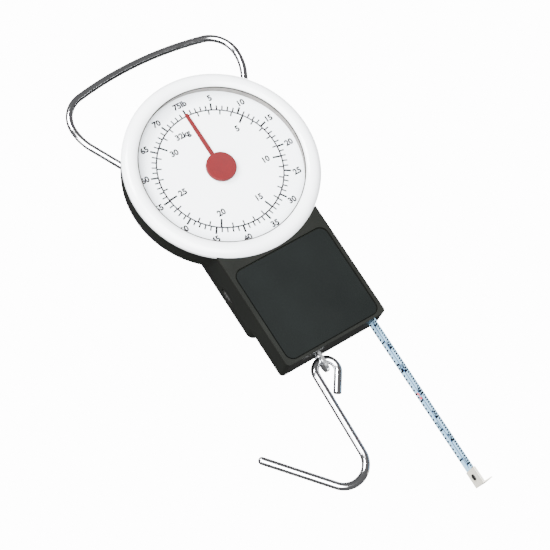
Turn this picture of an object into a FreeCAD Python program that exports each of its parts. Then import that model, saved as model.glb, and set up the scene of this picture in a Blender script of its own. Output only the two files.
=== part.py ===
"""Hanging spring scale with a round dial, a wire bail, a wire hook and a small tape measure.

The sizes are in millimetres. Each piece is drawn about the dial's centre: X to the right, Y from
the front face to the back and Z up. One placement then moves every piece, so that the origin lies
on the inside of the handle, where a hand or a rail takes the weight.
"""
import FreeCAD
import Part
import math
import os

Vector = FreeCAD.Vector

# ---------------------------------------------------------------- driving dimensions
SIZES = {
    # casing
    "case_radius": 36.2,
    "case_half_width": 21.8,
    "case_bottom": 77.9,
    "corner_radius": 1.6,
    "front_depth": 6.9,
    "case_depth": 12.0,
    "back_depth": 19.2,
    "back_top": 28.5,
    "back_bottom": 59.5,
    "back_corner": 3.0,
    "wall": 1.4,
    "front_wall": 2.0,
    "dial_floor": 1.4,
    "panel_half_width": 19.75,
    "panel_top": 38.65,
    "panel_bottom": 76.4,
    "panel_corner": 3.0,
    "panel_gap": 0.5,
    "panel_recess": 1.2,
    "panel_thickness": 0.9,
    # dial
    "ring_radius": 37.3,
    "ring_opening": 31.3,
    "ring_crown": 1.8,
    "ring_skirt": 1.4,
    "window_radius": 33.0,
    "window_thickness": 1.0,
    "spacer_opening": 31.8,
    "dial_front": 3.7,
    "dial_thickness": 0.5,
    "dial_hole": 2.0,
    "hub_radius": 5.8,
    "hub_front": 1.6,
    "hub_thickness": 1.35,
    "needle_reach": 24.6,
    "needle_half_width": 0.85,
    "needle_tip": 0.7,
    "needle_thickness": 0.35,
    # movement
    "gear_module": 0.5,
    "gear_teeth": 14,
    "gear_thickness": 1.6,
    "gear_backlash": 0.06,
    "shaft_radius": 1.0,
    "running_gap": 0.05,
    "chassis_front": 8.4,
    "chassis_half_width": 20.0,
    "chassis_top": 24.4,
    "chassis_bottom": 35.0,
    "sheet_metal": 1.2,
    "ear_bottom": 11.0,
    "ear_back": 17.0,
    "plate_front": 10.8,
    "plate_half_width": 10.4,
    "plate_top": 26.6,
    "plate_bottom": 35.0,
    "fork_left": 5.0,
    "fork_bottom": 5.2,
    "load_travel": 22.0,
    "stud_height": 31.5,
    "stud_radius": 1.2,
    "spring_side": 6.6,
    "spring_depth": 15.0,
    "spring_radius": 2.1,
    "spring_wire": 0.6,
    "spring_coils": 36,
    "anchor_height": 22.0,
    "slide_front": 9.8,
    "slide_thickness": 0.8,
    # handle
    "bail_wire": 1.4,
    "bail_depth": 15.0,
    "bail_pivot": 16.5,
    "bail_top": 56.0,
    "bail_half_width": 36.6,
    "bail_widest": 42.5,
    "bail_side_radius": 20.0,
    "bail_crown_radius": 143.0,
    "bail_foot_radius": 3.0,
    "bail_foot_bend": 23.6,
    "bail_end": 17.4,
    # eye and hook
    "eye_side": 6.9,
    "eye_depth": 7.75,
    "eye_half_width": 2.75,
    "eye_hole": 2.3,
    "eye_height": 79.815,
    "eye_end": 85.2,
    "hook_wire": 1.5,
    "loop_side": 7.3,
    "loop_height": 84.7,
    "loop_radius": 4.3,
    "bend_side": 21.4,
    "bend_height": 116.0,
    "bend_radius": 8.6,
    "arm_slope": 48.7,
    "arm_length": 27.5,
    "free_leg_slope": 54.0,
    "free_leg_length": 8.0,
    # zero wheel
    "wheel_side": 16.55,
    "wheel_height": 41.8,
    "wheel_radius": 5.6,
    "wheel_front": 12.9,
    "wheel_thickness": 1.5,
    "wheel_notches": 24,
    "cam_radius": 2.6,
    "cam_throw": 0.6,
    "cam_front": 9.75,
    "cam_thickness": 0.9,
    # tape measure
    "tape_side": 17.45,
    "tape_front": 2.25,
    "tape_width": 7.8,
    "tape_thickness": 0.15,
    "tape_end": 148.0,
    "reel_side": 9.15,
    "reel_height": 52.0,
    "coil_radius": 8.2,
    "coil_core": 5.0,
    "reel_wall": 0.8,
    "axle_radius": 1.5,
}

# screw places as (x, z), from the dial's centre
CASE_SCREWS = [(-27.0, 17.0), (27.0, 17.0), (-27.0, -17.0), (27.0, -17.0), (-17.0, -73.0), (11.5, -73.0)]
CHASSIS_SCREWS = [(-15.5, 19.0), (15.5, 19.0), (-15.5, -30.0), (15.5, -30.0)]
CASE_SCREW_RADIUS = 1.2
CASE_HEAD_RADIUS = 2.4
CHASSIS_SCREW_RADIUS = 0.95
CHASSIS_HEAD_RADIUS = 1.9

doc = FreeCAD.newDocument("spring_scale")
sheet = doc.addObject("Spreadsheet::Sheet", "sizes")
for row, (word, number) in enumerate(SIZES.items(), start=1):
    sheet.set(f"A{row}", word)
    sheet.set(f"B{row}", str(number))
    sheet.setAlias(f"B{row}", word)
doc.recompute()


def size(word):
    """One driving dimension, as the sheet holds it."""
    return float(sheet.get(word))


ORIGIN = Vector(0, -size("bail_depth"), -(size("bail_top") - size("bail_wire")))
HOME = FreeCAD.Placement(ORIGIN, FreeCAD.Rotation())
ALONG_Y = FreeCAD.Rotation(Vector(1, 0, 0), -90)
ALONG_X = FreeCAD.Rotation(Vector(0, 1, 0), 90)
pieces = []


# ---------------------------------------------------------------- ways of making a piece
def bind(thing, **formulas):
    """Bind a thing's properties to formulas on the sheet; a double underscore stands for a dot."""
    for name, formula in formulas.items():
        thing.setExpression(name.replace("__", "."), str(formula))
    return thing


def keep(thing, label):
    """Make a thing a finished sub-part with its own label, moved to the common origin."""
    thing.Label = label
    thing.Placement = HOME
    pieces.append(thing)
    return thing


def box(name, x, y, z):
    """A block between two formulas on each axis."""
    block = doc.addObject("Part::Box", name)
    for axis, side, (low, high) in zip("xyz", ("Length", "Width", "Height"), (x, y, z)):
        block.setExpression(f"Placement.Base.{axis}", str(low))
        block.setExpression(side, f"({high}) - ({low})")
    return block


def rod(name, radius, start, length, axis="y"):
    """A round bar from a start point, along Y, X or Z."""
    bar = doc.addObject("Part::Cylinder", name)
    bar.Placement.Rotation = {"y": ALONG_Y, "x": ALONG_X, "z": FreeCAD.Rotation()}[axis]
    bind(bar, Radius=radius, Height=length)
    for letter, formula in zip("xyz", start):
        bar.setExpression(f"Placement.Base.{letter}", str(formula))
    return bar


def join(name, parts):
    """Parts fused into one solid, or kept as a group of separate solids where they don't touch."""
    group = doc.addObject("Part::MultiFuse", name)
    group.Shapes = parts
    return group


def take(name, base, tools):
    """A base with tools cut out of it."""
    result = doc.addObject("Part::Cut", name)
    result.Base = base
    result.Tool = tools[0] if len(tools) == 1 else join(name + "_tools", tools)
    return result


def sketch_on(body, role, name, geometry, offset=0.0):
    """A sketch on one of a body's own planes, moved along that plane's normal."""
    plane = next(f for f in body.Origin.OriginFeatures if f.Role == role)
    sketch = body.newObject("Sketcher::SketchObject", name)
    sketch.AttachmentSupport = [(plane, "")]
    sketch.MapMode = "FlatFace"
    sketch.AttachmentOffset = FreeCAD.Placement(Vector(0, 0, offset), FreeCAD.Rotation())
    sketch.addGeometry(geometry, False)
    return sketch


def pad(body, name, geometry, front, length):
    """Add an outline in X and Z, from a depth `front` towards the back."""
    feature = body.newObject("PartDesign::Pad", name)
    feature.Profile = sketch_on(body, "XZ_Plane", name + "_outline", geometry, -front)
    feature.Reversed = True
    feature.setExpression("Length", str(length))
    doc.recompute()
    return feature


def pocket(body, name, geometry, front, length):
    """Cut an outline in X and Z, from a depth `front` towards the back."""
    before = body.Shape.Volume
    feature = body.newObject("PartDesign::Pocket", name)
    feature.Profile = sketch_on(body, "XZ_Plane", name + "_outline", geometry, -front)
    feature.setExpression("Length", str(length))
    doc.recompute()
    if body.Shape.Volume >= before - 1e-6:
        raise RuntimeError(f"{name} cuts nothing")
    return feature


def cut_block(body, name, low, high):
    """Cut a block between two corners out of a body."""
    before = body.Shape.Volume
    block = body.newObject("PartDesign::SubtractiveBox", name)
    block.Length, block.Width, block.Height = [b - a for a, b in zip(low, high)]
    block.Placement = FreeCAD.Placement(Vector(*low), FreeCAD.Rotation())
    doc.recompute()
    if body.Shape.Volume >= before - 1e-6:
        raise RuntimeError(f"{name} cuts nothing")


def cut_round(body, name, radius, start, length):
    """Cut a round hole along X out of a body."""
    before = body.Shape.Volume
    hole = body.newObject("PartDesign::SubtractiveCylinder", name)
    bind(hole, Radius=radius, Height=length)
    hole.Placement = FreeCAD.Placement(Vector(*start), ALONG_X)
    doc.recompute()
    if body.Shape.Volume >= before - 1e-6:
        raise RuntimeError(f"{name} cuts nothing")


def revolve(label, geometry):
    """A body turned about the Y axis from an outline of radius and depth."""
    body = doc.addObject("PartDesign::Body", label + "_body")
    sketch = sketch_on(body, "XY_Plane", label + "_section", geometry)
    turn = body.newObject("PartDesign::Revolution", label + "_turn")
    turn.Profile = sketch
    turn.ReferenceAxis = (sketch, ["V_Axis"])
    turn.Angle = 360
    doc.recompute()
    return body


def segments(points):
    """A closed outline of straight lines through (x, z) points."""
    ends = [Vector(a, b, 0) for a, b in points]
    return [Part.LineSegment(p, q) for p, q in zip(ends, ends[1:] + ends[:1])]


def circle(radius, x=0.0, z=0.0):
    return Part.Circle(Vector(x, z, 0), Vector(0, 0, 1), radius)


def corner_arc(x, z, radius, start, end):
    """An arc about (x, z) between two angles in degrees, anticlockwise."""
    round_line = Part.Circle(Vector(x, z, 0), Vector(0, 0, 1), radius)
    return Part.ArcOfCircle(round_line, math.radians(start), math.radians(end))


def rounded_block(left, right, bottom, top, radius):
    """A rectangle in X and Z with rounded corners."""
    arcs = [
        corner_arc(right - radius, top - radius, radius, 0, 90),
        corner_arc(left + radius, top - radius, radius, 90, 180),
        corner_arc(left + radius, bottom + radius, radius, 180, 270),
        corner_arc(right - radius, bottom + radius, radius, 270, 360),
    ]
    lines = [Part.LineSegment(a.EndPoint, b.StartPoint) for a, b in zip(arcs, arcs[1:] + arcs[:1])]
    return arcs + lines


def case_outline(inset):
    """The keyhole outline of the casing: a round head over a straight body, set in all round."""
    radius = size("case_radius") - inset
    half = size("case_half_width") - inset
    bottom = -(size("case_bottom") - inset)
    corner = max(size("corner_radius") - inset, 0.4)
    meet = math.degrees(math.asin(half / radius))
    head = corner_arc(0, 0, radius, -90 + meet, 270 - meet)
    left = corner_arc(-half + corner, bottom + corner, corner, 180, 270)
    right = corner_arc(half - corner, bottom + corner, corner, 270, 360)
    return [
        head,
        Part.LineSegment(head.EndPoint, left.StartPoint),
        left,
        Part.LineSegment(left.EndPoint, right.StartPoint),
        right,
        Part.LineSegment(right.EndPoint, head.StartPoint),
    ]


def wire_pipe(edges, radius):
    """A round wire along joined lines and arcs."""
    path = Part.Wire(edges)
    start = edges[0].Vertexes[0].Point
    along = edges[0].tangentAt(edges[0].FirstParameter)
    ring = Part.Wire([Part.Circle(start, along, radius).toShape()])
    solid = path.makePipeShell([ring], True, False)
    length = sum(e.Length for e in edges)
    print(f"wire {length:.1f} mm long, volume {solid.Volume / (math.pi * radius**2 * length):.4f} of the ideal")
    return solid


def arc_edge(x, z, radius, start, end, depth):
    """An arc in the X-Z plane at a depth, between two angles in degrees, in the order given."""
    middle = (start + end) / 2
    points = [
        Vector(x + radius * math.cos(math.radians(a)), depth, z + radius * math.sin(math.radians(a)))
        for a in (start, middle, end)
    ]
    return Part.Arc(*points).toShape()


def line_edge(a, b):
    return Part.LineSegment(a, b).toShape()


# ---------------------------------------------------------------- casing
def make_front_case():
    """Front shell: open round mouth for the dial, a floor behind it, and the lower body's front."""
    body = doc.addObject("PartDesign::Body", "front_case_body")
    depth = size("front_depth")
    wall = size("wall")
    floor_front = size("dial_front") + size("dial_thickness")
    floor_back = floor_front + size("dial_floor")
    bore = size("case_radius") - wall
    half = size("case_half_width") - wall
    low = -(size("case_bottom") - wall)
    shelf = -(size("case_radius") + wall)
    pad(body, "front_shell", case_outline(0), 0, "sizes.front_depth")
    pocket(body, "dial_mouth", [circle(bore)], 0, "sizes.dial_front + sizes.dial_thickness")
    pocket(body, "back_hollow", case_outline(wall), floor_back, depth - floor_back + 1)
    pocket(body, "body_hollow", rounded_block(-half, half, low, shelf, 0.6), size("front_wall"), depth)
    pocket(body, "ring_groove", [circle(size("ring_radius") + 0.1), circle(size("case_radius"))], 0,
           "sizes.ring_skirt + 0.05")
    gap = size("panel_gap")
    edge = size("panel_half_width") + gap
    recess = rounded_block(-edge, edge, -size("panel_bottom") - gap, -size("panel_top") + gap,
                           size("panel_corner") + gap)
    pocket(body, "panel_recess", recess, 0, "sizes.panel_recess")
    for count, (x, z) in enumerate(CASE_SCREWS):
        front = floor_back - 0.1 if z > shelf else size("front_wall") - 0.1
        pad(body, f"case_boss_{count}", [circle(2.6, x, z)], front, depth - front)
        pocket(body, f"case_boss_hole_{count}", [circle(CASE_SCREW_RADIUS + 0.05, x, z)], 4.6, depth)
    for count, (x, z) in enumerate(CHASSIS_SCREWS):
        front = floor_back - 0.1
        pad(body, f"chassis_boss_{count}", [circle(2.3, x, z)], front, size("chassis_front") - front)
        pocket(body, f"chassis_boss_hole_{count}", [circle(CHASSIS_SCREW_RADIUS + 0.05, x, z)], 5.8, depth)
    side, height = -size("wheel_side"), -size("wheel_height")
    pad(body, "wheel_boss", [circle(2.4, side, height)], size("front_wall") - 0.1, 3.1)
    pocket(body, "wheel_pin_hole", [circle(1.2, side, height)], size("front_wall"), depth)
    pocket(body, "axle_hole", [circle(size("axle_radius"), size("reel_side"), -size("reel_height"))],
           size("panel_recess"), depth)
    pocket(body, "bushing_hole", [circle(2.1)], floor_front, depth)
    eye, width = -size("eye_side"), size("eye_half_width")
    under = -size("case_bottom")
    cut_block(body, "eye_slot", (eye - 1.3, size("eye_depth") - width - 0.4, under - 1),
              (eye + 1.3, depth + 1, under + wall + 1))
    cut_block(body, "tape_slot", (16.5, 1.5, under - 1), (18.5, depth + 1, under + 5.0))
    return keep(body, "front_case")


def outer_edges(shape, depth):
    """Names of the edges that lie in the plane at a depth and belong to its outer boundary."""
    face = max((f for f in shape.Faces if abs(f.CenterOfMass.y - depth) < 1e-6
                and abs(f.normalAt(0, 0).y) > 0.99), key=lambda f: f.Area)
    rim = face.OuterWire.Edges
    return [f"Edge{n}" for n, e in enumerate(shape.Edges, start=1) if any(e.isSame(r) for r in rim)]


def make_rear_case():
    """Rear shell: shallow behind the dial and the body, with a deep flat-backed box for the movement."""
    body = doc.addObject("PartDesign::Body", "rear_case_body")
    wall = size("wall")
    front = size("front_depth")
    shallow = size("case_depth")
    half = size("case_half_width")
    bottom, top = -size("back_bottom"), size("back_top")
    corner = size("back_corner")
    pad(body, "rear_shell", case_outline(0), front, "sizes.case_depth - sizes.front_depth")
    pad(body, "movement_box", rounded_block(-half, half, bottom, top, corner), shallow - 0.5,
        "sizes.back_depth - sizes.case_depth + 0.5")
    box_feature, box_edges = body.Tip, outer_edges(body.Shape, size("back_depth"))
    rounding = body.newObject("PartDesign::Fillet", "box_edge")
    rounding.Base = (box_feature, box_edges)
    rounding.Radius = 1.0
    doc.recompute()
    pocket(body, "shell_hollow", case_outline(wall), front, "sizes.case_depth - sizes.front_depth - sizes.wall")
    pocket(body, "box_hollow", rounded_block(-half + wall, half - wall, bottom + wall, top - wall,
                                             corner - wall),
           front, "sizes.back_depth - sizes.front_depth - sizes.wall")
    for count, (x, z) in enumerate(CASE_SCREWS):
        pad(body, f"screw_tube_{count}", [circle(2.7, x, z)], front, "sizes.case_depth - sizes.front_depth - 1")
        pocket(body, f"screw_hole_{count}", [circle(CASE_SCREW_RADIUS + 0.25, x, z)], front - 1, 8)
        pocket(body, f"screw_sink_{count}", [circle(CASE_HEAD_RADIUS + 0.2, x, z)], shallow - 1.3, 8)
    side, height = -size("wheel_side"), -size("wheel_height")
    back = size("back_depth") - wall
    pad(body, "wheel_seat", [circle(2.4, side, height)], back - 1.6, 1.7)
    pocket(body, "wheel_seat_hole", [circle(1.2, side, height)], back - 2, 2)
    cut_block(body, "wheel_slot", (-half - 1, 12.6, height - 3.35), (-half + wall + 0.5, 15.2, height + 3.35))
    pad(body, "shaft_boss", [circle(3.2)], 13.6, back - 13.5)
    pocket(body, "shaft_boss_hole", [circle(2.1)], 13, 3.7)
    cut_block(body, "wheel_relief", (-half + 0.45, 12.6, height - 4.6), (-half + wall + 0.5, 15.2, height + 4.6))
    cut_round(body, "bail_hole", "sizes.bail_wire + 0.06",
              (-half - 1, size("bail_depth"), size("bail_pivot")), "2 * sizes.case_half_width + 2")
    eye, width = -size("eye_side"), size("eye_half_width")
    under = -size("case_bottom")
    cut_block(body, "eye_slot_back", (eye - 1.3, front - 1, under - 1),
              (eye + 1.3, size("eye_depth") + width + 0.1, under + wall + 1))
    cut_block(body, "tape_slot_back", (16.5, front - 1, under - 1), (18.5, 10.55, under + 5.0))
    return keep(body, "rear_case")


def make_front_panel():
    """Inset panel that covers the tape reel's axle."""
    body = doc.addObject("PartDesign::Body", "front_panel_body")
    edge = size("panel_half_width")
    outline = rounded_block(-edge, edge, -size("panel_bottom"), -size("panel_top"), size("panel_corner"))
    pad(body, "panel_plate", outline, size("panel_recess") - size("panel_thickness"), "sizes.panel_thickness")
    return keep(body, "front_panel")


def make_case_screws():
    """Six self-tapping screws, put in from the back."""
    parts = []
    head_front = size("case_depth") - 1.3
    for count, (x, z) in enumerate(CASE_SCREWS):
        shank = rod(f"case_shank_{count}", CASE_SCREW_RADIUS, (x, 4.8, z), head_front - 4.8)
        head = rod(f"case_head_{count}", CASE_HEAD_RADIUS, (x, head_front, z), 1.2)
        slot = box(f"case_drive_{count}", (x - 1.6, x + 1.6), (head_front + 0.6, head_front + 2),
                   (z - 0.3, z + 0.3))
        cross = box(f"case_cross_{count}", (x - 0.3, x + 0.3), (head_front + 0.6, head_front + 2),
                    (z - 1.6, z + 1.6))
        parts.append(take(f"case_screw_{count}", join(f"case_blank_{count}", [shank, head]), [slot, cross]))
    return keep(join("case_screw_set", parts), "case_screws")


# ---------------------------------------------------------------- dial
def make_bezel_ring():
    """White ring with a domed face, a lip over the window and a skirt inside the case mouth."""
    outer, opening = size("ring_radius"), size("ring_opening")
    crown = size("ring_crown")
    seat = size("window_radius") + 0.1
    skirt = size("case_radius") - size("wall") - 0.1
    lip = size("case_radius") + 0.1
    back = size("ring_skirt")
    middle = (outer + opening) / 2 + 0.3
    points = [(lip, 0), (lip, back), (outer, back), (outer, 0.2)]
    face = Part.Arc(Vector(outer, 0.2, 0), Vector(middle, -crown, 0), Vector(opening, -0.5, 0))
    rest = [(opening, -0.5), (opening, 0), (seat, 0), (seat, 3.6), (skirt, 3.6), (skirt, 0), (lip, 0)]
    lines = [Part.LineSegment(Vector(*a, 0), Vector(*b, 0)) for a, b in zip(points, points[1:])]
    lines += [Part.LineSegment(Vector(*a, 0), Vector(*b, 0)) for a, b in zip(rest, rest[1:])]
    return keep(revolve("bezel_ring", lines + [face]), "bezel_ring")


def make_dial_stack():
    """Window, spacer ring and dial plate, one behind the other."""
    radius = "sizes.window_radius"
    window = doc.addObject("PartDesign::Body", "dial_window_body")
    pad(window, "window_disc", [circle(size("window_radius"))], 0, "sizes.window_thickness")
    keep(window, "dial_window")
    gap = "sizes.dial_front - sizes.window_thickness"
    blank = rod("spacer_blank", radius, (0, "sizes.window_thickness", 0), gap)
    hollow = rod("spacer_hollow", "sizes.spacer_opening", (0, "sizes.window_thickness", 0), gap)
    keep(take("spacer_ring", blank, [hollow]), "dial_spacer")
    disc = rod("dial_disc", radius, (0, "sizes.dial_front", 0), "sizes.dial_thickness")
    hole = rod("dial_hole_tool", "sizes.dial_hole", (0, "sizes.dial_front", 0), "sizes.dial_thickness")
    keep(take("dial_blank", disc, [hole]), "dial_plate")


# ---------------------------------------------------------------- pointer and its gear
def make_pointer():
    """Tapered needle with a short tail, its domed hub, the shaft and the small gear."""
    reach, wide, narrow = size("needle_reach"), size("needle_half_width"), size("needle_tip")
    level = size("hub_front") + size("hub_thickness")
    outline = [(-wide, -3.0), (wide, -3.0), (wide, 12.0), (narrow, reach - 0.3), (narrow - 0.2, reach),
               (0.2 - narrow, reach), (-narrow, reach - 0.3), (-wide, 12.0)]
    body = doc.addObject("PartDesign::Body", "pointer_body")
    pad(body, "needle", segments(outline), level, "sizes.needle_thickness")
    keep(body, "pointer")
    cap = rod("hub_cap", "sizes.hub_radius", (0, "sizes.hub_front", 0), "sizes.hub_thickness")
    rounded = doc.addObject("Part::Fillet", "hub_rounding")
    rounded.Base = cap
    doc.recompute()
    front_edge = next(n for n, e in enumerate(cap.Shape.Edges, start=1)
                      if e.Closed and abs(e.CenterOfMass.y - size("hub_front")) < 1e-6)
    rounded.Edges = [(front_edge, 0.4, 0.4)]
    keep(rounded, "pointer_hub")
    shaft = doc.addObject("PartDesign::Body", "pointer_shaft_body")
    start = level + size("needle_thickness")
    pad(shaft, "shaft_bar", [circle(size("shaft_radius"))], start, 16.4 - start)
    keep(shaft, "pointer_shaft")


def tooth_outline(teeth, module, shrink):
    """A small gear's outline with straight-sided teeth; the first tooth points along +X."""
    pitch = module * teeth / 2
    root, tip = pitch - 1.25 * module, pitch + module
    points = []
    for tooth in range(teeth):
        middle = 2 * math.pi * tooth / teeth
        half_root = (module * math.pi / 4 + 0.40 * module - shrink / 2) / root
        half_tip = (module * math.pi / 4 - 0.38 * module - shrink / 2) / tip
        for radius, turn in ((root, -half_root), (tip, -half_tip), (tip, half_tip), (root, half_root)):
            points.append((radius * math.cos(middle + turn), radius * math.sin(middle + turn)))
    return points


def make_pinion():
    body = doc.addObject("PartDesign::Body", "pinion_body")
    front = size("plate_front") - (size("gear_thickness") - size("sheet_metal")) / 2
    outline = tooth_outline(int(size("gear_teeth")), size("gear_module"), size("gear_backlash"))
    pad(body, "gear_blank", segments(outline), front, "sizes.gear_thickness")
    pocket(body, "gear_bore", [circle(size("shaft_radius"))], front - 0.5, 3)
    keep(body, "pinion")


def make_bushings():
    """A long front bushing through the dial floor and the chassis, and a short rear one."""
    for name, start, length in (("front_bushing", 4.3, 6.1), ("rear_bushing", 12.8, 3.9)):
        outer = rod(name + "_blank", 2.09, (0, start, 0), length)
        bore = rod(name + "_bore", "sizes.shaft_radius + sizes.running_gap", (0, start, 0), length)
        keep(take(name + "_ring", outer, [bore]), name)


# ---------------------------------------------------------------- chassis and draw plate
def make_chassis():
    """Steel plate screwed in the front shell; its two folded ears carry the handle's feet."""
    body = doc.addObject("PartDesign::Body", "chassis_body")
    half, top, bottom = size("chassis_half_width"), size("chassis_top"), -size("chassis_bottom")
    front, metal = size("chassis_front"), size("sheet_metal")
    pad(body, "chassis_sheet", rounded_block(-half, half, bottom, top, 1.5), front, "sizes.sheet_metal")
    ear_low = size("ear_bottom")
    for name, left in (("left_ear", -half), ("right_ear", half - metal)):
        ear = rounded_block(left, left + metal, ear_low, top - 1.5, 0.3)
        pad(body, name, ear, front, "sizes.ear_back - sizes.chassis_front")
    for count, (x, z) in enumerate([(-11.5, 0), (11.5, 0), (-11.5, -24), (11.5, -24)]):
        pad(body, f"guide_post_{count}", [circle(0.9, x, z)], front, 4.4)
    pocket(body, "chassis_bushing_hole", [circle(2.1)], front, metal)
    for count, (x, z) in enumerate(CHASSIS_SCREWS):
        pocket(body, f"chassis_hole_{count}", [circle(CHASSIS_SCREW_RADIUS + 0.1, x, z)], front, metal)
    pocket(body, "link_notch", rounded_block(-9.0, 3.0, bottom - 2, -25.0, 0.8), front, metal)
    cut_round(body, "ear_hole", "sizes.bail_wire + 0.06",
              (-half - 1, size("bail_depth"), size("bail_pivot")), "2 * sizes.chassis_half_width + 2")
    keep(body, "chassis_plate")
    parts = []
    head_front = front + metal
    for count, (x, z) in enumerate(CHASSIS_SCREWS):
        shank = rod(f"chassis_shank_{count}", CHASSIS_SCREW_RADIUS, (x, 6.0, z), head_front - 6.0)
        head = rod(f"chassis_head_{count}", CHASSIS_HEAD_RADIUS, (x, head_front, z), 1.0)
        slot = box(f"chassis_drive_{count}", (x - 1.9, x + 1.9), (head_front + 0.5, head_front + 2),
                   (z - 0.25, z + 0.25))
        parts.append(take(f"chassis_screw_{count}", join(f"chassis_blank_{count}", [shank, head]), [slot]))
    keep(join("chassis_screw_set", parts), "chassis_screws")


def make_draw_plate():
    """Forked plate that the load pulls down, with rack teeth along the right tine."""
    body = doc.addObject("PartDesign::Body", "draw_plate_body")
    half, top, bottom = size("plate_half_width"), size("plate_top"), -size("plate_bottom")
    front, metal = size("plate_front"), size("sheet_metal")
    module = size("gear_module")
    pitch_line = module * size("gear_teeth") / 2
    root_line = pitch_line + 1.3 * module
    tip_line = pitch_line - module
    pad(body, "plate_sheet", rounded_block(-half, half, bottom, top, 1.2), front, "sizes.sheet_metal")
    pitch = math.pi * module
    steps = int(25.6 / pitch)
    low = -size("fork_bottom")
    outline = [(-size("fork_left"), low), (root_line, low)]
    for step in range(-2, steps + 1):
        middle = step * pitch + pitch / 2
        wide, narrow = 0.38 * pitch, 0.13 * pitch
        outline += [(root_line, middle - wide), (tip_line, middle - narrow),
                    (tip_line, middle + narrow), (root_line, middle + wide)]
    outline += [(root_line, top + 1), (-size("fork_left"), top + 1)]
    pocket(body, "fork_gap", segments(outline), front, metal)
    side, anchor, stud = size("spring_side"), size("anchor_height"), size("stud_radius")
    for name, middle in (("left_notch", -side), ("right_notch", side)):
        notch = rounded_block(middle - stud - 0.4, middle + stud + 0.4, anchor - stud - 1.0, top + 3, 1.2)
        pocket(body, name, notch, front, metal)
    for count, (x, z) in enumerate(LINK_RIVETS):
        pocket(body, f"link_rivet_hole_{count}", [circle(RIVET_RADIUS, x, z)], front, metal)
    for name, middle in (("left_stud_hole", -side), ("right_stud_hole", side)):
        pocket(body, name, [circle(stud, middle, -size("stud_height"))], front, metal)
    keep(body, "draw_plate")


def make_eye_link():
    """Folded strip that hangs from the draw plate and ends in the eye below the casing."""
    side, metal = -size("eye_side"), size("sheet_metal")
    depth, half = size("eye_depth"), size("eye_half_width")
    left = side - metal / 2
    end = -size("eye_end")
    plate = size("plate_front")
    blocks = [
        box("link_lower", (left, left + metal), (depth - half, depth + half), (end + half, -56)),
        box("link_upper", (left, left + metal), (6.2, plate - 0.35), (-56.5, -27)),
        box("link_flange", (left, left + 6.0), (plate - metal, plate), (-34.4, -27)),
        rod("link_end", half, (left, depth, end + half), metal, "x"),
    ]
    eye = rod("eye_hole_tool", "sizes.eye_hole", (left - 1, depth, "-sizes.eye_height"), 4, "x")
    holes = [rod(f"flange_hole_{n}", RIVET_RADIUS, (x, plate - 3, z), 4) for n, (x, z) in enumerate(LINK_RIVETS)]
    keep(take("eye_link_cut", join("eye_link_blank", blocks), [eye] + holes), "eye_link")
    rivets = []
    front = plate - metal
    for count, (x, z) in enumerate(LINK_RIVETS):
        shank = rod(f"rivet_shank_{count}", RIVET_RADIUS, (x, front - 0.5, z), 2 * metal + 0.9)
        head = rod(f"rivet_head_{count}", 1.4, (x, front - 0.5, z), 0.5)
        tail = rod(f"rivet_tail_{count}", 1.2, (x, plate + metal, z), 0.4)
        rivets.append(join(f"rivet_{count}", [shank, head, tail]))
    keep(join("rivet_pair", rivets), "link_rivets")


def make_studs():
    """Grooved studs that hold the springs' end loops."""
    side, radius = size("spring_side"), "sizes.stud_radius"
    plate, depth = size("plate_front"), size("spring_depth")
    slide, metal = size("slide_front"), size("slide_thickness")
    levels = (("spring_studs", -size("stud_height"), plate), ("anchor_studs", size("anchor_height"), slide))
    for name, height, front in levels:
        parts = []
        for count, x in enumerate((-side, side)):
            pin = rod(f"{name}_pin_{count}", radius, (x, front, height), depth + 1.6 - front)
            flange = rod(f"{name}_head_{count}", "sizes.stud_radius + 0.7", (x, depth + 1.0, height), 0.9)
            parts.append(join(f"{name}_{count}", [pin, flange]))
        keep(join(name + "_pair", parts), name)


def make_springs():
    """Two close-wound draw springs with a round loop at each end."""
    wire, mean = size("spring_wire"), size("spring_radius")
    depth = size("spring_depth")
    loop = size("stud_radius") + 0.05 + wire
    studs = (-size("stud_height"), size("anchor_height"))
    neck = loop + wire + 0.7
    low, high = studs[0] + neck, studs[1] - neck
    coils = int(size("spring_coils"))
    for name, side in (("load_spring_left", -size("spring_side")), ("load_spring_right", size("spring_side"))):
        path = Part.makeHelix((high - low) / coils, high - low, mean)
        path.translate(Vector(side, depth, low))
        start = path.Edges[0].Vertexes[0].Point
        along = path.Edges[0].tangentAt(path.Edges[0].FirstParameter)
        ring = Part.Wire([Part.Circle(start, along, wire).toShape()])
        solids = [Part.Wire(path.Edges).makePipeShell([ring], True, True)]
        for height, way in zip(studs, (1, -1)):
            end_loop = Part.makeTorus(loop, wire, Vector(side, depth, height), Vector(0, 1, 0))
            stem_start = Vector(side, depth, height + way * loop)
            stem = Part.makeCylinder(wire * 0.8, neck - loop + 1.0, stem_start, Vector(0, 0, way))
            solids.append(end_loop.fuse(stem))
        spring = doc.addObject("Part::Feature", name + "_wire")
        spring.Shape = Part.makeCompound(solids)
        keep(spring, name)


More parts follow.
